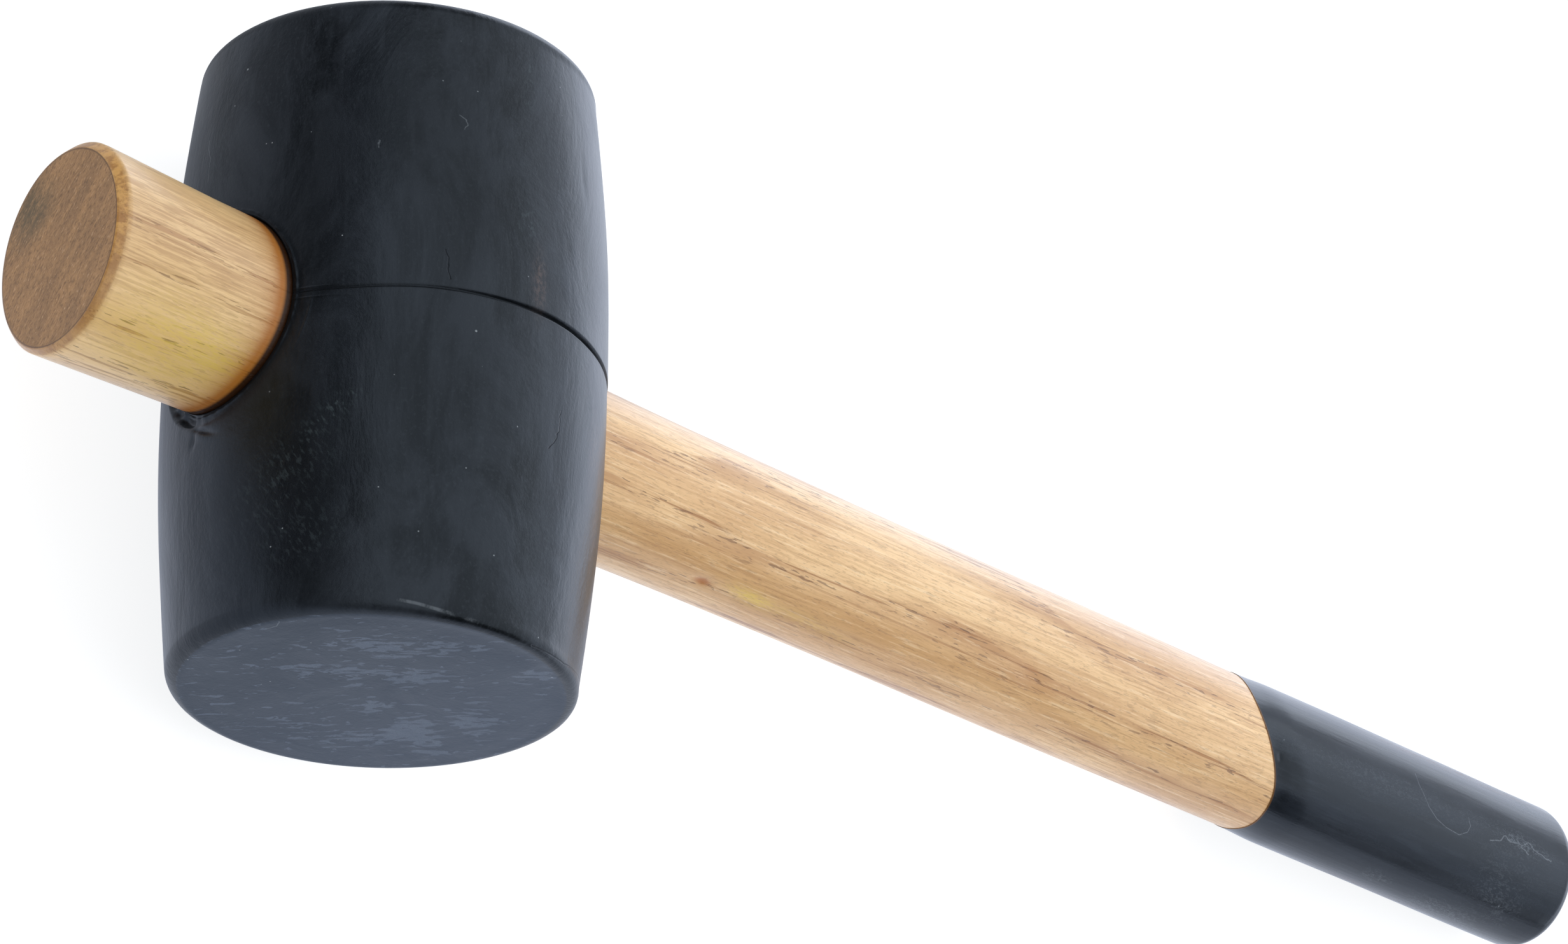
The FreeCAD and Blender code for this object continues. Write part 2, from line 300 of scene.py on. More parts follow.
def dipped_coat():
    """A thin closed cup, in one run of rows: inside from its pole to the lip, over it, and back outside.

    The corner is an arc of the handle's own rounding plus the coat. The lip is half a circle of COAT_THIN,
    from which the coat thickens to COAT over COAT_FEATHER, and the outside has the drag marks of the dip.
    """
    angle = np.linspace(0, TAU, AROUND, endpoint=False)[None, :]
    edge = coat_edge(angle)
    far = GRIP_END - END_ROUND
    thin = COAT_THIN * (1 + 0.10 * waves(23, angle, turns=4))

    def corner(radius):
        t = np.linspace(0, np.pi / 2, 11)[1:, None]
        return handle_points(far + radius * np.sin(t), angle, radius * np.cos(t) - END_ROUND)

    inner = corner(END_ROUND + COAT_GAP)
    outer = corner(END_ROUND + COAT_GAP + COAT)
    outer[..., 1:] *= 1 + 0.004 * waves(31, angle, turns=3)[..., None]
    down = np.linspace(1, 0, 9)[:, None]
    t = np.linspace(-np.pi / 2, np.pi / 2, 9)[:, None]
    run = graded(90, 2.4)[1:-1, None] * (far - edge)
    thick = thin + (COAT - thin) * ramp(run, 0, COAT_FEATHER)
    drag = 0.05 * waves(27, angle, edge + run, count=8, turns=4, reach=38.0)
    drag = drag * ramp(run, 0, 4) * (1 - ramp(run, 70, 76))
    low_spot = 0.12 * grip_patch(edge + run, angle, 188.8, 109, 0.35, 0.35)
    place = np.concatenate([
        drawn_in(inner[-1], np.linspace(0, 1, 6)[:-1]),
        inner[::-1],
        handle_points(edge + (far - edge) * down, angle, COAT_GAP),
        handle_points(edge - 0.5 * thin * np.cos(t), angle, COAT_GAP + 0.5 * thin * (1 + np.sin(t)))[1:],
        handle_points(edge + run, angle, COAT_GAP + thick + drag - low_spot),
        handle_points(far + 0 * angle, angle, COAT_GAP + COAT),
        outer,
        drawn_in(outer[-1], np.linspace(1, 0, 16)[1:], 0.15),
    ])
    x = place[..., 0]
    turned = np.broadcast_to(angle, x.shape)
    pale = patches(
        grip_patch, x, turned, (253, 95, 7.0, 1.0, 4, 0.6), (243, 177, 9, 2.0, 0, 0.6),
        (224, 172, 4, 1.5, 0, 0.6), (257, 56, 6, 2.2, 0, 0.9), (250, 120, 9, 9, 0, 0.2),
        (215, 95, 25, 2.5, 0, 0.25), (248, 190, 16, 1.6, 0, 0.8), (252, 150, 6, 3.0, 30, 0.3),
    )
    brown = patches(grip_patch, x, turned, (238, 46, 16, 1.2, 0, 1.0), (230, 198, 22, 1.6, 0, 0.6))
    # painted shade: a dark streak near the top and a long dark band at 150 degrees, where the gloss reflects
    # shade
    painted_shade = patches(grip_patch, x, turned, (201, 80, 5, 1.0, 0, 0.8), (222, 150, 30, 3, 0, 0.5))
    feathered = np.exp(-np.clip(x - edge, 0, 60) / 0.22)
    return build("grip_coat", "grip_dip_coat", [
        sheet(place, np.stack([pale, brown, painted_shade, feathered], axis=-1), loop=True)
    ])


# ---------------------------------------------------------------- head


def barrel_radius(y):
    """Radius of the head at y: an arc that falls by CROWN from the belly to the faces."""
    return BELLY - CROWN_ARC + np.sqrt(CROWN_ARC**2 - np.minimum(np.abs(y), HALF_HEAD) ** 2)


def parting_line(theta):
    """How far the parting line wanders off the middle of the head."""
    rise = bell(turn_from(theta, 75), math.radians(50)) - 0.6 * bell(turn_from(theta, 160), math.radians(30))
    return rise + 0.07 * waves(41, theta, count=6, turns=14)


def parting_depth(theta):
    """The groove is nearly shut at the stub's mouth and opens to most of a millimetre round the sides."""
    opened = ramp(np.abs(turn_from(theta, 180)), 0.9, 1.8) * (1 + 0.10 * waves(43, theta, turns=19))
    return 0.16 + 0.70 * opened


def head_patch(theta, y, degrees, level, wide, high, lean=0.0):
    """A soft patch on the barrel, at an angle and a height, wide round the head and high along it."""
    return oval_patch(turn_from(theta, degrees) * BELLY, y, 0, level, wide, high, lean)


def barrel_swell(theta, y, from_mouth, turn):
    """How far the rubber stands off the plain barrel: parting line, mould flash, a tear and unevenness."""
    off = y - parting_line(theta)
    depth = parting_depth(theta)
    swell = -depth * np.exp(-((off / (0.12 + 0.24 * depth)) ** 4))
    swell += 0.06 * np.tanh(off / 0.3) * bell(off, 3.0) * (depth + 0.1)
    swell += 0.10 * bell(off - 0.5, 0.12) * bell(turn_from(theta, 149), 0.16)
    swell += 0.10 * bell(y + 1.5 + 0 * theta, 0.12) * bell(turn_from(theta, 150), 0.11)
    swell += 0.08 * waves(47, theta, y, count=9, turns=5, reach=34.0)
    ragged = np.clip(0.6 + 0.45 * waves(53, turn, count=16, turns=70), 0.1, 1.4)
    swell += 0.14 * ragged * bell(from_mouth - 0.25, 0.22) - 0.04 * bell(from_mouth - 1.1, 0.5)
    swell += 0.07 * bell(from_mouth - 2.7, 0.16) * bell(turn_from(theta, 152), 0.14) * bell(y + 4.5, 4.0)
    torn = bell(turn_from(theta, 195) * BELLY, 5.0) * ramp(-y, 6, 10) * (1 - ramp(from_mouth, 1.0, 1.9))
    swell -= 1.5 * torn * (0.8 + 0.3 * waves(57, turn, count=8, turns=60))
    swell -= patches(
        head_patch, theta, y, (184, -17.8, 2.6, 0.35, 24, 0.5), (188, -18.6, 0.4, 1.4, 20, 0.35),
        (184, -18.8, 2.2, 0.6, 24, -0.18), (81, -16, 0.22, 3.0, 4, 0.25), (70, 27, 0.8, 0.6, 0, 0.2),
    )
    return swell


def on_barrel(theta, y, swell):
    """A point of the barrel, moved out along its normal by swell."""
    slope = y / np.sqrt(CROWN_ARC**2 - y**2)
    scale = swell / np.sqrt(1 + slope**2)
    radius = barrel_radius(y) + scale
    return np.stack([radius * np.cos(theta), y + scale * slope, radius * np.sin(theta)], axis=-1)


def eye_mouth(turn, side, grow):
    """The eye's oval where it breaks the barrel: Y = (long + grow) sin(turn), Z = (short + grow) cos(turn).

    X is the barrel's own depth there, settled by taking it back into the oval's size a few times.
    """
    x = np.full_like(turn, side * BELLY)
    for _ in range(12):
        half_long, half_short = handle_half_sizes(x)
        y = (half_long + grow) * np.sin(turn)
        z = (half_short + grow) * np.cos(turn)
        x = side * np.sqrt(barrel_radius(y) ** 2 - z**2)
    return np.stack([x, y, z], axis=-1)


def half_barrel(side):
    """Half of the barrel, from the mouth of the eye out to its border, and the lip that turns into the eye.

    Unrolled, the half is a rectangle: half a turn by the straight of the barrel. A spoke runs straight from
    each point of the mouth to a point of the border, finely spaced near the mouth and on the parting line.
    """
    below, in_band, above, across, outward = 25, 53, 26, 55, 104  # points in each stretch
    low = BAND_LOW - (RIM_START + BAND_LOW) * graded(below, 2.4)[1:]
    high = BAND_HIGH + (RIM_START - BAND_HIGH) * graded(above, 2.5)[1:]
    heights = np.concatenate([low[::-1], np.linspace(BAND_LOW, BAND_HIGH, in_band), high])
    ends = np.linspace(np.pi / 2, -np.pi / 2, across)
    corner = np.pi / 4
    eased = np.sign(heights) * (1 - np.exp(-np.abs(heights) / 14.0))
    tilt = np.arcsin(eased / eased[-1] * math.sin(corner))
    crosswise = np.linspace(corner, 3 * corner, len(ends))[1:-1]
    turn = np.concatenate([tilt, crosswise, np.pi - tilt[::-1], np.pi + crosswise])
    flat, tall = np.full(len(heights), np.pi / 2), np.full(len(ends) - 2, RIM_START)
    border_w = np.concatenate([flat, ends[1:-1], -flat, -ends[1:-1]])
    border_y = np.concatenate([heights, tall, heights[::-1], -tall])
    edge = eye_mouth(turn, side, EYE_GAP + LIP)
    edge_w, edge_y = np.arcsin(edge[:, 2] / barrel_radius(edge[:, 1])), edge[:, 1]
    share = graded(outward, 2.3)[:, None]
    w = edge_w + (border_w - edge_w) * share
    y = edge_y + (border_y - edge_y) * share
    theta = w if side > 0 else np.pi - w
    from_mouth = np.hypot((border_w - edge_w) * BELLY, border_y - edge_y) * share
    place = on_barrel(theta, y, barrel_swell(theta, y, from_mouth, turn))
    corner_line = eye_mouth(turn, side, EYE_GAP)
    x = corner_line[:, 0] - side * LIP
    half_long, half_short = handle_half_sizes(x)
    wall_y, wall_z = (half_long + EYE_GAP) * np.sin(turn), (half_short + EYE_GAP) * np.cos(turn)
    wall = np.stack([x, wall_y, wall_z], axis=-1)
    t = np.linspace(0, np.pi / 2, 8)[:, None, None]
    lip = corner_line + (1 - np.sin(t)) * (place[0] - corner_line) + (1 - np.cos(t)) * (wall - corner_line)
    first_column = {1: len(heights) - 1, -1: 2 * len(heights) + len(ends) - 3}
    columns = {end: (start + np.arange(len(ends))) % len(turn) for end, start in first_column.items()}
    return place, theta, y, from_mouth, lip, columns


def face_rows(border, theta, end):
    """From the barrel's border over the rounded rim and across the face to its centre.

    The rim is an arc of radius RIM that starts along the barrel's slope and ends square to the head's axis.
    It stands out by a share of sin squared where its corner is sharper. The face is a disc, a little hollow
    and uneven by a few hundredths, with a shallow groove just inside the rim.
    """
    start = math.asin(RIM_START / CROWN_ARC)
    centre_r = barrel_radius(RIM_START) - RIM * math.cos(start)
    t = np.linspace(start, np.pi / 2, 12)[1:, None]
    flat = centre_r * np.linspace(1, 0, 28)[1:, None]
    angle = theta[None, :]
    sharp = 0.02 + 0.20 * bell(turn_from(angle, 50 if end < 0 else 250), math.radians(55))
    out = RIM * (1 + sharp * np.sin(np.pi * (t - start) / (np.pi / 2 - start)) ** 2)
    disc = flat + 0 * angle
    radius = np.concatenate([centre_r + out * np.cos(t), disc])
    depth = np.concatenate([RIM_START + out * np.sin(t) - RIM * math.sin(start), HALF_HEAD + 0 * disc])
    share = radius / centre_r
    inside = ramp(centre_r - radius, 0, 5) * share
    depth = depth + 0.05 * waves(61 + end, angle, radius, count=7, turns=5, reach=22.0) * inside
    depth = depth - 0.07 * bell(radius - centre_r + 0.6, 0.8)
    depth = depth - 0.12 * np.clip(1 - share**2, 0, 1)
    place = np.stack([radius * np.cos(angle), end * depth, radius * np.sin(angle)], axis=-1)
    x, z = place[..., 0], place[..., 2]
    smear = patches(
        oval_patch, x, z, (-11, 13, 6, 3.0, 40, 1.0), (-3, 20, 5, 2.4, 55, 0.7), (11, 21, 4, 2.0, 40, 0.6),
        (-8, 3, 7, 2.2, 38, 1.0), (10, -13, 9, 2.6, 52, 0.8), (13, -5, 4, 5.0, 20, 1.0),
        (17, 4, 3, 5.0, 40, 1.0), (3, -3, 4, 2.0, 45, 0.7), (0, -16, 6, 2.0, 40, 0.6),
        (21, -9, 4, 3.0, 40, 0.6), (1, 9, 6, 3.0, 45, 0.9), (-16, -4, 5, 2.0, 50, 0.35),
    )
    # painted shade: the rim darkened on the stub's side, drawn near black like the barrel's shade
    rim_shade = 0.9 * bell(turn_from(angle, 195), math.radians(40))
    on_rim = (np.arange(len(place)) < SHADED_RIM_ROWS)[:, None] + 0 * x
    # third mark: painted shade on the rim, the layout of the smears on the face
    marks = np.stack([0 * x, 0 * x, np.where(on_rim, rim_shade, smear), 1 - on_rim], axis=-1)
    return np.concatenate([border[None], place]), np.concatenate([0 * marks[:1], marks])


def barrel_marks(theta, y, from_mouth):
    """Pale scuffs and brown rubs on the barrel, and painted shade: dark patches, darkest down in the parting
    line and round the eye's mouth.
    """
    pale = patches(
        head_patch, theta, y, (92.5, 38, 0.8, 4.5, 6, 0.9), (93.5, 14.5, 2.2, 2.6, 30, 0.8),
        (65.5, -9.5, 3.0, 6.0, -30, 0.7), (70, 8, 1.0, 14, 4, 0.5), (143, -19, 6.0, 1.4, -42, 0.9),
        (157, -29, 9, 5, -38, 0.5), (150, -38, 7, 4, -20, 0.4), (52, -30, 1.6, 12, 0, 0.5),
        (186, 26, 4, 9, 10, 0.35), (117, -48.2, 7, 0.4, 0, 0.8), (60, 20, 1.2, 10, 6, 0.4),
        (83, -38, 3, 9, 4, 0.25),
    )
    brown = patches(
        head_patch, theta, y, (89.5, 5.5, 1.0, 4.0, 0, 0.9), (54, -24, 1.4, 10, 0, 0.7),
        (60, -14, 2.4, 5, 0, 0.5),
    )
    # painted shade: dark patches where the rubber lies in shade
    painted_shade = patches(
        head_patch, theta, y, (160, -34, 9, 10, 0, 0.8), (157, -30, 9, 15, 0, 0.9), (155, 10, 8, 12, 0, 0.5),
        (140, 26, 14, 9, 0, 0.5), (172, -26, 6, 9, 0, 0.5), (84, 2.6, 1.2, 1.2, 0, 0.8),
        (130, -10, 12, 8, 0, 0.35), (108, 14, 8, 12, 0, 0.3),
    )
    # painted shade in the hollows: round the eye's mouth and down in the parting line
    painted_shade += 0.9 * bell(from_mouth, 1.0) + bell(y - parting_line(theta), 0.25 + 0.3 * parting_depth(theta))
    return np.stack([pale, brown, painted_shade, 0 * y], axis=-1)


def rubber_head():
    """The whole head: two half barrels, two faces in halves, and the eye that joins the two mouths."""
    # painted shade: the lip and the wall of the eye carry the third mark at 1.2, so they are drawn near
    # black
    in_eye = (0, 0, 1.2, 0)
    sheets, mouths = [], []
    for side in (-1, 1):
        place, theta, y, from_mouth, lip, columns = half_barrel(side)
        away = side < 0
        sheets.append(sheet(place, barrel_marks(theta, y, from_mouth), flip=away, loop=True))
        sheets.append(sheet(lip, in_eye, flip=not away, loop=True))
        mouths.append(lip[-1])
        for end, index in columns.items():
            sheets.append(sheet(*face_rows(place[-1, index], theta[-1, index], end), flip=away))
    share = np.linspace(0, 1, 7)[:, None, None]
    sheets.append(sheet(mouths[0] + (mouths[1] - mouths[0]) * share, in_eye, loop=True))
    return build("head_rubber", "rubber_head", sheets)


# ---------------------------------------------------------------- material kit


class Finish:
    """A material under construction: every method adds a node or two and gives back the output."""

    def __init__(self, name):
        self.material = bpy.data.materials.new(name)
        self.material.use_nodes = True
        self.tree = self.material.node_tree
        self.surface = self.tree.nodes["Principled BSDF"]
        coords = self.tree.nodes.new("ShaderNodeTexCoord").outputs["Object"]
        drop = Matrix.Rotation(-LEAN, 3, "Y") @ Vector((0, 0, -BELLY))
        self.place = self.map(coords, scale=(MM, MM, MM), turn=(0, -LEAN, 0), shift=drop)

    def node(self, kind, inputs, **settings):
        """A node with its inputs, linked or set, and its settings."""
        made = self.tree.nodes.new(kind)
        for key, value in settings.items():
            setattr(made, key, value)
        for key, value in inputs.items():
            self.feed(made.inputs[key], value)
        return made

    def feed(self, socket, value):
        """Links an output to a socket, or sets the socket to a number or colour."""
        if isinstance(value, bpy.types.NodeSocket):
            self.tree.links.new(value, socket)
        else:
            socket.default_value = value

    def map(self, vector, scale=(1, 1, 1), turn=(0, 0, 0), shift=(0, 0, 0)):
        """A vector scaled, then turned, then shifted."""
        inputs = {"Vector": vector, "Scale": scale, "Rotation": turn, "Location": shift}
        return self.node("ShaderNodeMapping", inputs).outputs[0]

    def calc(self, kind, *values, clamp=False):
        """One Math node, such as MULTIPLY_ADD, SUBTRACT or MAXIMUM."""
        inputs = dict(enumerate(values))
        return self.node("ShaderNodeMath", inputs, operation=kind, use_clamp=clamp).outputs[0]

    def total(self, *values):
        """The sum of some values."""
        return functools.reduce(lambda so_far, value: self.calc("ADD", so_far, value), values)

    def times(self, *values, clamp=False):
        """The product of some values; clamp keeps it between 0 and 1."""
        so_far = functools.reduce(lambda so_far, value: self.calc("MULTIPLY", so_far, value), values[:-1])
        return self.calc("MULTIPLY", so_far, values[-1], clamp=clamp)

    def without(self, value):
        """1 less a value."""
        return self.calc("SUBTRACT", 1.0, value)

    def reach(self, u, v):
        """The root of u squared plus v squared."""
        return self.calc("SQRT", self.calc("MULTIPLY_ADD", u, u, self.calc("MULTIPLY", v, v)))

    def step(self, value, low, high, bottom=0.0, top=1.0):
        """Smooth change from bottom to top as value goes from low to high, which may be the smaller."""
        if low > high:
            low, high, bottom, top = high, low, top, bottom
        inputs = {"Value": value, "From Min": low, "From Max": high, "To Min": bottom, "To Max": top}
        return self.node("ShaderNodeMapRange", inputs, interpolation_type="SMOOTHSTEP").outputs[0]

    def grain(self, scale, turn=(0, 0, 0), detail=3.0, rough=0.55, warp=0.0):
        """Noise on the place, turned and then squeezed by scale, in cycles a millimetre."""
        vector = self.map(self.map(self.place, turn=turn), scale)
        inputs = {"Vector": vector, "Scale": 1.0, "Detail": detail, "Roughness": rough, "Distortion": warp}
        return self.node("ShaderNodeTexNoise", inputs).outputs[0]

    def mix(self, share, first, second):
        """One colour passing into another as share goes from 0 to 1."""
        made = self.node("ShaderNodeMix", {}, data_type="RGBA")
        for socket, value in ((0, share), (6, first), (7, second)):
            self.feed(made.inputs[socket], value + (1,) if isinstance(value, tuple) else value)
        return made.outputs[2]

    def layers(self, colour, *coats):
        """A colour with coats over it, each a share from 0 to 1 and a colour."""
        for share, over in coats:
            colour = self.mix(share, colour, over)
        return colour

    def marks(self):
        """The four marks that are painted on the mesh."""
        read = self.node("ShaderNodeAttribute", {}, attribute_name="marks")
        split = self.node("ShaderNodeSeparateColor", {"Color": read.outputs["Color"]})
        return split.outputs[0], split.outputs[1], split.outputs[2], read.outputs["Alpha"]

    def split(self, vector):
        """X, Y and Z of a vector."""
        return self.node("ShaderNodeSeparateXYZ", {"Vector": vector}).outputs

    def bump(self, height, distance, normal=None):
        """Relief of a height from 0 to 1, over a distance in millimetres."""
        inputs = {"Height": height, "Strength": 1.0, "Distance": distance / MM}
        if normal:
            inputs["Normal"] = normal
        return self.node("ShaderNodeBump", inputs).outputs[0]

    def specks(self, cell, size, share, seed=0.0):
        """Scattered dots: the middles of a share of the cells of a Voronoi pattern."""
        shifted = self.map(self.place, shift=(seed, seed, seed))
        cells = self.node("ShaderNodeTexVoronoi", {"Vector": shifted, "Scale": 1 / cell})
        dot = self.step(cells.outputs["Distance"], size / cell, 0.4 * size / cell)
        pick = self.node("ShaderNodeSeparateColor", {"Color": cells.outputs["Color"]}).outputs[0]
        return self.times(dot, self.step(pick, share, 0.9 * share))

    def stroke(self, u, v, start, end, width):
        """A thin line in the plane of u and v, from start to end: 1 within about width of that segment."""
        (from_u, from_v), (to_u, to_v) = start, end
        span = (to_u - from_u) ** 2 + (to_v - from_v) ** 2
        off_u, off_v = self.calc("SUBTRACT", u, from_u), self.calc("SUBTRACT", v, from_v)
        along = self.calc("MULTIPLY", off_v, (to_v - from_v) / span)
        along = self.calc("MULTIPLY_ADD", off_u, (to_u - from_u) / span, along)
        along = self.calc("ADD", along, 0.0, clamp=True)
        left_u = self.calc("MULTIPLY_ADD", along, from_u - to_u, off_u)
        left_v = self.calc("MULTIPLY_ADD", along, from_v - to_v, off_v)
        return self.step(self.reach(left_u, left_v), width, 0.3 * width)

    def strokes(self, u, v, width, *corners):
        """Thin lines through each row of corners."""
        lines = [self.stroke(u, v, a, b, width) for row in corners for a, b in zip(row, row[1:])]
        return functools.reduce(lambda so_far, line: self.calc("MAXIMUM", so_far, line), lines)

    def finish(self, **inputs):
        """Sets the shader's own sockets, named with _ for each space."""
        for key, value in inputs.items():
            self.feed(self.surface.inputs[key.replace("_", " ")], value)
        return self.material


# ---------------------------------------------------------------- finishes

PLAIN_IOR = 1.5
RUBBER_TINT = (0.72, 0.84, 1.0, 1.0)  # the cool cast of the gloss on rubber and vinyl


def black_rubber():
    """Moulded rubber: near black, clouded along the head, dusty, scuffed, and with smears on its faces; dark
    patches and hollows are painted shade, and each face is painted lighter away from the stub.
    """
    deep, clouded = (0.0010, 0.0014, 0.0016), (0.0175, 0.0205, 0.0255)
    drawn, gritty = (0.024, 0.028, 0.034), (0.030, 0.036, 0.042)
    dim_face, lit_face, smeared = (0.026, 0.036, 0.053), (0.046, 0.060, 0.088), (0.115, 0.145, 0.20)
    # the first is painted shade: near black for the shaded patches and hollows
    near_black_shade, scuff, rub = (0.0012, 0.0016, 0.0018), (0.075, 0.100, 0.105), (0.16, 0.10, 0.075)
    scratch, crack, dust = (0.20, 0.22, 0.24), (0.001, 0.001, 0.001), (0.35, 0.38, 0.40)
    # Thin marks, each the corners of a line in millimetres: on the top in X and Y
    curl = ((-12.8, 29.2), (-11.8, 28.6), (-11.6, 27.8), (-12.0, 27.0))
    nick = ((-22.6, 22.4), (-22.3, 23.6))
    rim_streak_line = ((-16.5, -47.2), (-14.7, -47.4), (-9.9, -48.0), (-4.0, -48.4))
    rim_crease = ((4.4, -48.6), (12.6, -48.2), (20.2, -46.6), (25.0, -45.6))
    long_crack = ((5.9, -12.6), (5.6, -16.0), (4.6, -18.0), (3.6, -19.3))
    short_crack = ((-14.6, 6.5), (-14.2, 2.0))
    # at the stub's side in Y and Z, and on the faces in X and Z
    side_hair = ((31.0, -6.4), (27.5, -5.1), (23.5, -5.0))
    face_hair = ((-25.5, 9.6), (-24.6, 8.0), (-25.2, 6.4))

    f = Finish("black_rubber")
    pale, brown, painted_shade, face = f.marks()
    x, y, z = f.split(f.place)
    on_top, at_stub = f.step(z, 0, 5), f.step(x, -20, -24)
    cloud = f.grain((0.075, 0.035, 0.075), detail=7, rough=0.66, warp=0.5)
    streak = f.grain((0.55, 0.07, 0.55), detail=5, rough=0.65)
    grit = f.grain((2.2, 1.6, 2.2), detail=3, rough=0.6)
    fine = f.grain((7.0, 7.0, 7.0), detail=1)
    scrape = f.grain((1.8, 0.45, 1.8), turn=(math.radians(35), 0, 0), detail=4, rough=0.65)
    brush = f.grain((1.0, 1.0, 0.30), turn=(0, math.radians(-40), 0), detail=3, rough=0.55, warp=0.8)
    scuffed = f.times(pale, f.step(scrape, 0.50, 0.66))
    # on the faces the third mark holds the layout of the smears, not shade
    smear = f.times(face, f.step(f.total(brush, f.times(painted_shade, 0.22)), 0.625, 0.655))
    # painted shade: the third mark off the faces
    shade_and_stain = f.times(painted_shade, f.without(face), clamp=True)

    quiver = f.calc("MULTIPLY_ADD", f.grain((0.5, 0.5, 0.5), detail=2), 1.2, -0.6)
    u, v = f.total(x, quiver), f.total(z, quiver)
    on_side = f.times(f.strokes(y, v, 0.10, side_hair), at_stub)
    hairs = f.total(f.times(f.strokes(u, y, 0.11, curl, nick), on_top), on_side)
    hairs = f.times(hairs, f.step(grit, 0.34, 0.5, 0.2, 0.8))
    on_face = f.times(f.strokes(u, z, 0.12, face_hair), face)
    # a pale speckled streak along the top of the rim
    pale_rim_streak = f.times(f.strokes(u, y, 0.30, rim_streak_line), on_top, f.step(f.total(cloud, streak), 0.85, 1.1))
    cracks = f.times(f.strokes(u, y, 0.13, long_crack, short_crack, rim_crease), on_top)
    dots = f.total(f.specks(2.6, 0.15, 0.30), f.specks(7.0, 0.24, 0.50, 3.3))

    body = f.layers(
        f.mix(f.step(cloud, 0.38, 0.62), deep, clouded),
        (f.step(streak, 0.48, 0.70, 0, 0.35), drawn),
        (f.step(grit, 0.52, 0.72, 0, 0.30), gritty),
        # painted light: the face passes from a shaded copy on the stub's side to a lit copy on the other
        (f.times(face, 0.9), f.mix(f.step(x, -26, 26), dim_face, lit_face)),
        # painted shade
        (f.times(shade_and_stain, 0.85, clamp=True), near_black_shade),
        (f.times(scuffed, 0.45, clamp=True), scuff),
        (f.times(brown, f.step(grit, 0.35, 0.65, 0.05, 0.5), clamp=True), rub),
        (f.times(smear, f.step(fine, 0.3, 0.7, 0.35, 0.65)), smeared),
        (f.times(f.total(hairs, on_face, pale_rim_streak), 0.45, clamp=True), scratch),
        (f.times(cracks, 0.8), crack),
        (f.times(dots, 0.7, clamp=True), dust),
    )
    rough = f.total(
        f.step(cloud, 0.3, 0.7, 0.27, 0.35), f.times(grit, 0.05), f.times(scuffed, 0.15),
        f.times(shade_and_stain, 0.06), f.times(face, 0.16),
    )
    relief = f.bump(fine, 0.006, f.bump(grit, 0.022, f.bump(cloud, 0.30)))
    relief = f.bump(f.without(cracks), 0.10, relief)
    return f.finish(
        Base_Color=body, Roughness=rough, Normal=relief,
        IOR=PLAIN_IOR, Specular_IOR_Level=0.32, Specular_Tint=RUBBER_TINT,
    )


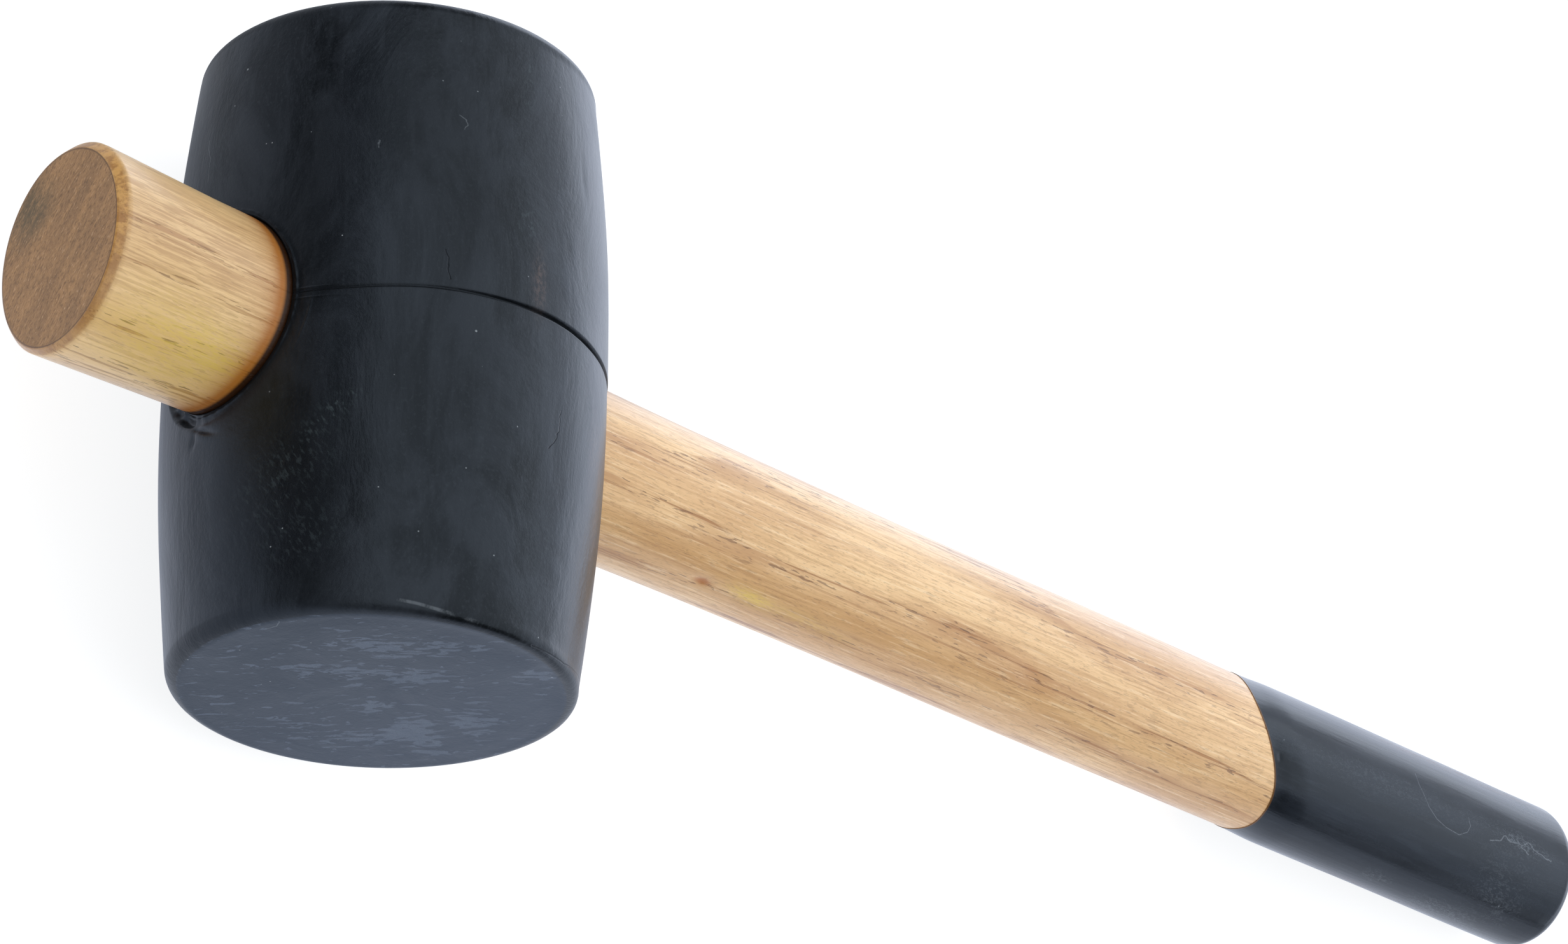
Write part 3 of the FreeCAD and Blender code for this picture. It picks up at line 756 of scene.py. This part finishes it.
def waxed_wood():
    """Pale hardwood: warped growth rings, long fibres, short flecks and pores, a browned sawn end, and
    painted shade where it leaves the rubber.
    """
    cream, tan, late_wood = (0.93, 0.615, 0.305), (0.68, 0.390, 0.165), (0.46, 0.205, 0.060)
    dark_fibre, pale_fibre, flecked = (0.56, 0.300, 0.115), (1.0, 0.77, 0.48), (0.42, 0.220, 0.09)
    warm, veined, pored = (1.0, 0.70, 0.32), (0.40, 0.165, 0.040), (0.22, 0.095, 0.030)
    stub_top_grain_and_shade, gilded = (0.52, 0.285, 0.12), (0.86, 0.62, 0.09)
    sawn_pale, sawn_dark = (0.45, 0.236, 0.090), (0.32, 0.166, 0.064)
    sawn_pore, sawn_chip, weathering = (0.15, 0.072, 0.026), (0.66, 0.43, 0.25), (0.115, 0.082, 0.036)
    bevel_pale, bevel_dark, bevel_low = (0.72, 0.375, 0.10), (0.44, 0.19, 0.04), (0.34, 0.165, 0.06)
    arris_line, shade_and_stain_brown, shade_and_stain_black = (0.13, 0.050, 0.012), (0.46, 0.150, 0.012), (0.035, 0.012, 0.003)
    weathered_y, weathered_z = 8.0, -7.0  # the middle of the weathered patch on the sawn end

    f = Finish("waxed_wood")
    on_end, bevelled, yellow, shade_and_stain = f.marks()
    x, y, z = f.split(f.place)
    on_stub = f.step(x, -28, -40)
    wander = f.grain((0.006, 0.040, 0.040), detail=2, rough=0.5)
    depth = f.total(f.times(y, 0.13), f.times(z, 0.10), f.times(wander, 4.5), 0.35)
    ring = f.calc("FRACT", depth)
    late = f.times(f.step(ring, 0.55, 0.95), f.step(ring, 1.0, 0.965))
    here = f.calc("MULTIPLY_ADD", late, 0.7, 0.3)
    comes = f.step(f.grain((0.03, 0.2, 0.2), detail=2), 0.45, 0.60)
    fibre = f.grain((0.09, 2.2, 2.2), detail=4, rough=0.7)
    fleck = f.grain((0.8, 5.0, 5.0), detail=2, rough=0.6)
    tone = f.grain((0.014, 0.10, 0.10), detail=4, rough=0.6)
    pore = f.times(f.step(f.grain((0.30, 2.4, 2.4), detail=2, rough=0.5), 0.62, 0.65), here)
    vein = f.times(f.step(f.grain((0.030, 1.6, 1.6), detail=3, rough=0.6), 0.57, 0.60), here)
    even = f.calc("MULTIPLY_ADD", on_stub, -0.5, 1.0)
    wood = f.layers(
        f.mix(f.step(tone, 0.34, 0.66), cream, tan),
        (f.times(late, f.calc("MULTIPLY_ADD", comes, 0.50, 0.12)), late_wood),
        (f.times(f.step(fibre, 0.48, 0.62, 0.0, 0.45), even), dark_fibre),
        (f.times(f.step(fibre, 0.45, 0.35, 0.0, 0.40), even), pale_fibre),
        (f.step(fleck, 0.44, 0.32, 0.0, 0.45), flecked),
        (f.times(on_stub, 0.50), warm),
        (f.times(vein, 0.75), veined),
        (f.times(pore, 0.72), pored),
        # the stub's top darker red-brown: grain dashes, and painted shade
        (f.times(on_stub, f.step(z, 8, 14), f.step(fibre, 0.40, 0.58, 0.25, 0.80)), stub_top_grain_and_shade),
    )
    gold = f.times(yellow, f.step(f.total(fibre, fleck), 0.8, 1.25, 0.25, 1.0), clamp=True)
    wood = f.mix(f.times(gold, 0.75), wood, gilded)

    across = (math.radians(-38.5), 0, 0)
    pith = f.grain((0.1, 0.07, 0.55), turn=across, detail=5, rough=0.65)
    speckle = f.grain((1.0, 1.1, 3.2), turn=across, detail=3, rough=0.7)
    away = f.reach(f.calc("SUBTRACT", y, weathered_y), f.calc("SUBTRACT", z, weathered_z))
    weathered = f.times(f.step(away, 7.5, 0.5), f.step(f.total(pith, speckle), 0.75, 1.15, 0.25, 0.9))
    sawn = f.layers(
        f.mix(f.step(pith, 0.35, 0.66), sawn_pale, sawn_dark),
        (f.step(speckle, 0.47, 0.66, 0.0, 0.65), sawn_pore),
        (f.step(speckle, 0.42, 0.28, 0.0, 0.65), sawn_chip),
        (weathered, weathering),
    )
    blotch = f.grain((0.5, 0.5, 0.5), detail=4, rough=0.7)
    edge_tone = f.mix(f.step(blotch, 0.4, 0.6), bevel_pale, bevel_dark)
    edge_tone = f.mix(f.step(y, 2, -12, 0.0, 0.55), edge_tone, bevel_low)
    arris = f.times(on_end, f.without(on_end), 3.4, clamp=True)
    wood = f.layers(
        wood,
        (f.times(bevelled, 0.88), edge_tone),
        (on_end, sawn),
        (arris, arris_line),
        # painted shade where the wood leaves the rubber, partly a real rubber stain, and the knot's stain
        (f.step(shade_and_stain, 0.05, 0.55, 0, 0.92), shade_and_stain_brown),
        (f.step(shade_and_stain, 0.60, 1.05), shade_and_stain_black),
    )
    rough = f.total(f.step(fibre, 0.3, 0.7, 0.30, 0.40), f.times(on_end, 0.30))
    relief = f.bump(f.total(fleck, fibre), 0.015, f.bump(f.without(f.total(pore, vein)), 0.05))
    return f.finish(
        Base_Color=wood, Roughness=rough, Normal=relief, IOR=PLAIN_IOR, Specular_IOR_Level=0.5,
        Coat_Weight=0.25, Coat_Roughness=0.2, Coat_IOR=PLAIN_IOR,
    )


def dipped_vinyl():
    """The dip: satin charcoal drawn along the handle, with brownish rubs, pale scuffs, fine scratches and
    painted shade in dark bands.
    """
    deep, clouded, drawn = (0.0035, 0.0045, 0.0060), (0.0110, 0.0140, 0.0190), (0.024, 0.030, 0.037)
    # the first is painted shade, near black, laid where the coat's gloss reflects shade
    near_black_shade, rub, scuff = (0.003, 0.0035, 0.0045), (0.22, 0.145, 0.125), (0.22, 0.25, 0.28)
    scratch, thin_edge = (0.35, 0.38, 0.42), (0.20, 0.085, 0.022)
    # Thin marks on the top, each the corners of a line in X and Y, in millimetres
    hook = (
        (224.0, 3.6), (224.6, 1.5), (227.0, -1.7), (229.4, -3.2), (232.0, -3.9), (235.6, -4.2),
        (237.6, -3.2), (238.2, -2.0), (237.6, -0.6),
    )
    snag = (
        (243.6, -3.0), (246.5, -2.2), (247.4, -1.0), (249.2, -1.6), (252.6, -1.3), (254.0, -0.4),
        (257.0, -1.6), (260.5, -1.9),
    )
    spur = ((251.5, -1.2), (254.2, -2.6))

    f = Finish("dipped_vinyl")
    pale, brown, painted_shade, feathered = f.marks()
    x, y, z = f.split(f.place)
    cloud = f.grain((0.03, 0.12, 0.12), detail=5, rough=0.65)
    drag = f.grain((0.08, 1.1, 1.1), detail=4, rough=0.6)
    grit = f.grain((2.0, 3.0, 3.0), detail=3, rough=0.6)
    fine = f.grain((8.0, 8.0, 8.0), detail=1)
    crumb = f.grain((0.8, 1.6, 1.6), detail=4, rough=0.7, warp=1.5)
    scuffed = f.times(pale, f.step(f.total(crumb, f.times(pale, 0.08)), 0.52, 0.62))
    rubbed = f.times(brown, f.step(f.total(drag, crumb), 0.9, 1.1))

    quiver = f.calc("MULTIPLY_ADD", f.grain((0.6, 0.6, 0.6), detail=2), 1.0, -0.5)
    u, v = f.total(x, quiver), f.total(y, quiver)
    lines = f.calc("MAXIMUM", f.strokes(x, y, 0.09, hook), f.strokes(u, v, 0.16, snag, spur))
    lines = f.times(lines, f.step(z, 0, 3), f.step(grit, 0.34, 0.5, 0.3, 1.0))
    dots = f.total(f.specks(3.5, 0.15, 0.25), f.specks(8.0, 0.24, 0.30, 5.1))

    body = f.layers(
        f.mix(f.step(cloud, 0.38, 0.62), deep, clouded),
        (f.step(drag, 0.50, 0.72, 0.0, 0.35), drawn),
        # painted shade
        (f.times(painted_shade, 0.5, clamp=True), near_black_shade),
        (f.times(rubbed, 0.6, clamp=True), rub),
        (f.times(scuffed, 0.4, clamp=True), scuff),
        (f.times(f.total(f.times(lines, 0.6), dots), 0.45, clamp=True), scratch),
        (f.step(feathered, 0.15, 0.7, 0.0, 0.8), thin_edge),
    )
    rough = f.total(f.step(cloud, 0.3, 0.7, 0.17, 0.24), f.times(rubbed, 0.15), f.times(scuffed, 0.15))
    relief = f.bump(fine, 0.004, f.bump(drag, 0.035, f.bump(grit, 0.008)))
    return f.finish(
        Base_Color=body, Roughness=rough, Normal=relief,
        IOR=PLAIN_IOR, Specular_IOR_Level=0.30, Specular_Tint=RUBBER_TINT,
    )


# ---------------------------------------------------------------- studio

COOL = (0.95, 0.98, 1.0)  # the overhead lamp's slightly blue white
COOLER = (0.88, 0.95, 1.08)  # and the standing lamps'
DIM_SURROUND, SEEN_SURROUND = (0.055, 0.06, 0.07, 1), (0.96, 0.97, 0.98, 1)


def table_top():
    """The floor: a wide disc at the level on which the mallet rests, nearly white.

    What gloss picks up from it is dimmer at the head and brighter behind the grip, as under a shaded lamp.
    """
    radius, sides = 9.0, 96
    ring = np.linspace(0, TAU, sides, endpoint=False)
    rim = np.stack([radius * np.cos(ring), radius * np.sin(ring), 0 * ring], axis=-1)
    points = np.concatenate([rim, [[0.0, 0.0, 0.0]]])
    faces = np.stack([np.full(sides, sides), np.arange(sides), np.roll(np.arange(sides), -1)], axis=-1)
    mesh = bpy.data.meshes.new("floor")
    mesh.from_pydata(points.tolist(), [], faces.tolist())
    floor = bpy.data.objects.new("floor", mesh)
    bpy.context.collection.objects.link(floor)
    f = Finish("pale_table")
    x, y, _ = f.split(f.place)
    gloss = f.node("ShaderNodeLightPath", {}).outputs["Is Glossy Ray"]
    by_head, by_grip = f.step(y, -30, 45, 0.90, 0.30), f.step(y, 0, 120, 0.90, 1.80)
    past_head = f.step(x, -20, 180)
    picked = f.calc("MULTIPLY_ADD", past_head, f.calc("SUBTRACT", by_grip, by_head), by_head)
    seen = 0.88
    mottle = f.step(f.grain((0.02, 0.02, 0.02), detail=3), 0.3, 0.7)
    floor.data.materials.append(f.finish(
        Base_Color=f.mix(mottle, (0.30, 0.30, 0.30), (0.32, 0.32, 0.32)), Roughness=0.8,
        Specular_IOR_Level=0.1,
        Emission_Color=f.mix(gloss, (0.98, 0.99, 1.0), (0.85, 0.93, 1.12)),
        Emission_Strength=f.calc("MULTIPLY_ADD", gloss, f.calc("SUBTRACT", picked, seen), seen),
    ))


def softbox(name, centre, aim, width, height, radiance, colour):
    """A flat rectangular light whose face has the given radiance, turned from its centre towards aim."""
    lamp = bpy.data.lights.new(name, "AREA")
    lamp.shape = "RECTANGLE"
    lamp.size, lamp.size_y = width, height
    lamp.energy = radiance * math.pi * width * height
    lamp.color = colour
    light = bpy.data.objects.new(name, lamp)
    light.location = centre
    light.rotation_euler = (Vector(aim) - Vector(centre)).to_track_quat("-Z", "Y").to_euler()
    light.visible_camera = False
    bpy.context.collection.objects.link(light)


def upright_softbox(name, heading, distance, base, top, width, radiance):
    """A standing softbox in a direction given in degrees, facing the mallet."""
    turn, middle = math.radians(heading), (base + top) / 2
    centre = (distance * math.cos(turn), distance * math.sin(turn), middle)
    softbox(name, centre, (0, 0, middle), width, top - base, radiance, COOLER)


def studio():
    """A wall of light beyond the grip, brightest low down, a wide lamp overhead and a dim one at the back.

    Only what the camera sees of the surround is bright, so the lamps alone shape the light.
    """
    wall = dict(heading=18, distance=1.5, width=4.2)
    upright_softbox("low_wall_light", base=0.02, top=0.36, radiance=2.6, **wall)
    upright_softbox("high_wall_light", base=0.36, top=1.30, radiance=1.3, **wall)
    upright_softbox("back_light", heading=131, distance=2.2, base=0.72, top=1.95, width=1.7, radiance=0.5)
    below = (0.45, 0.0, 0.0)
    softbox("overhead_light", (0.45, 0.0, 1.8), below, width=4.8, height=4.0, radiance=1.22, colour=COOL)
    world = bpy.data.worlds.new("surround")
    world.use_nodes = True
    nodes, links = world.node_tree.nodes, world.node_tree.links
    path = nodes.new("ShaderNodeLightPath")
    shade = nodes.new("ShaderNodeMix")
    shade.data_type = "RGBA"
    shade.inputs[6].default_value = DIM_SURROUND
    shade.inputs[7].default_value = SEEN_SURROUND
    links.new(path.outputs["Is Camera Ray"], shade.inputs[0])
    links.new(shade.outputs[2], nodes["Background"].inputs[0])
    bpy.context.scene.world = world
    bpy.context.scene.view_settings.view_transform = "Standard"


def camera():
    """A long lens looking down along the mallet from the stub's side, rolled well over.

    From aim, the lens is distance away, heading degrees round and dip degrees down from level.
    """
    aim = Vector((0.0622, 0.0, 0.0496))
    distance, heading, dip, roll = 0.8772, 36.29, 43.40, 64.01
    turn = (
        Matrix.Rotation(math.radians(heading - 90), 3, "Z")
        @ Matrix.Rotation(math.radians(90 - dip), 3, "X")
        @ Matrix.Rotation(math.radians(roll), 3, "Z")
    )
    lens = bpy.data.cameras.new("camera")
    lens.sensor_width = 36.0
    lens.lens = 133.83
    lens.clip_start, lens.clip_end = 0.02, 60.0
    holder = bpy.data.objects.new("camera", lens)
    holder.matrix_world = Matrix.Translation(aim + turn @ Vector((0, 0, distance))) @ turn.to_4x4()
    bpy.context.collection.objects.link(holder)
    bpy.context.scene.camera = holder


camera()
studio()
table_top()
rubber_head().data.materials.append(black_rubber())
wooden_handle().data.materials.append(waxed_wood())
dipped_coat().data.materials.append(dipped_vinyl())
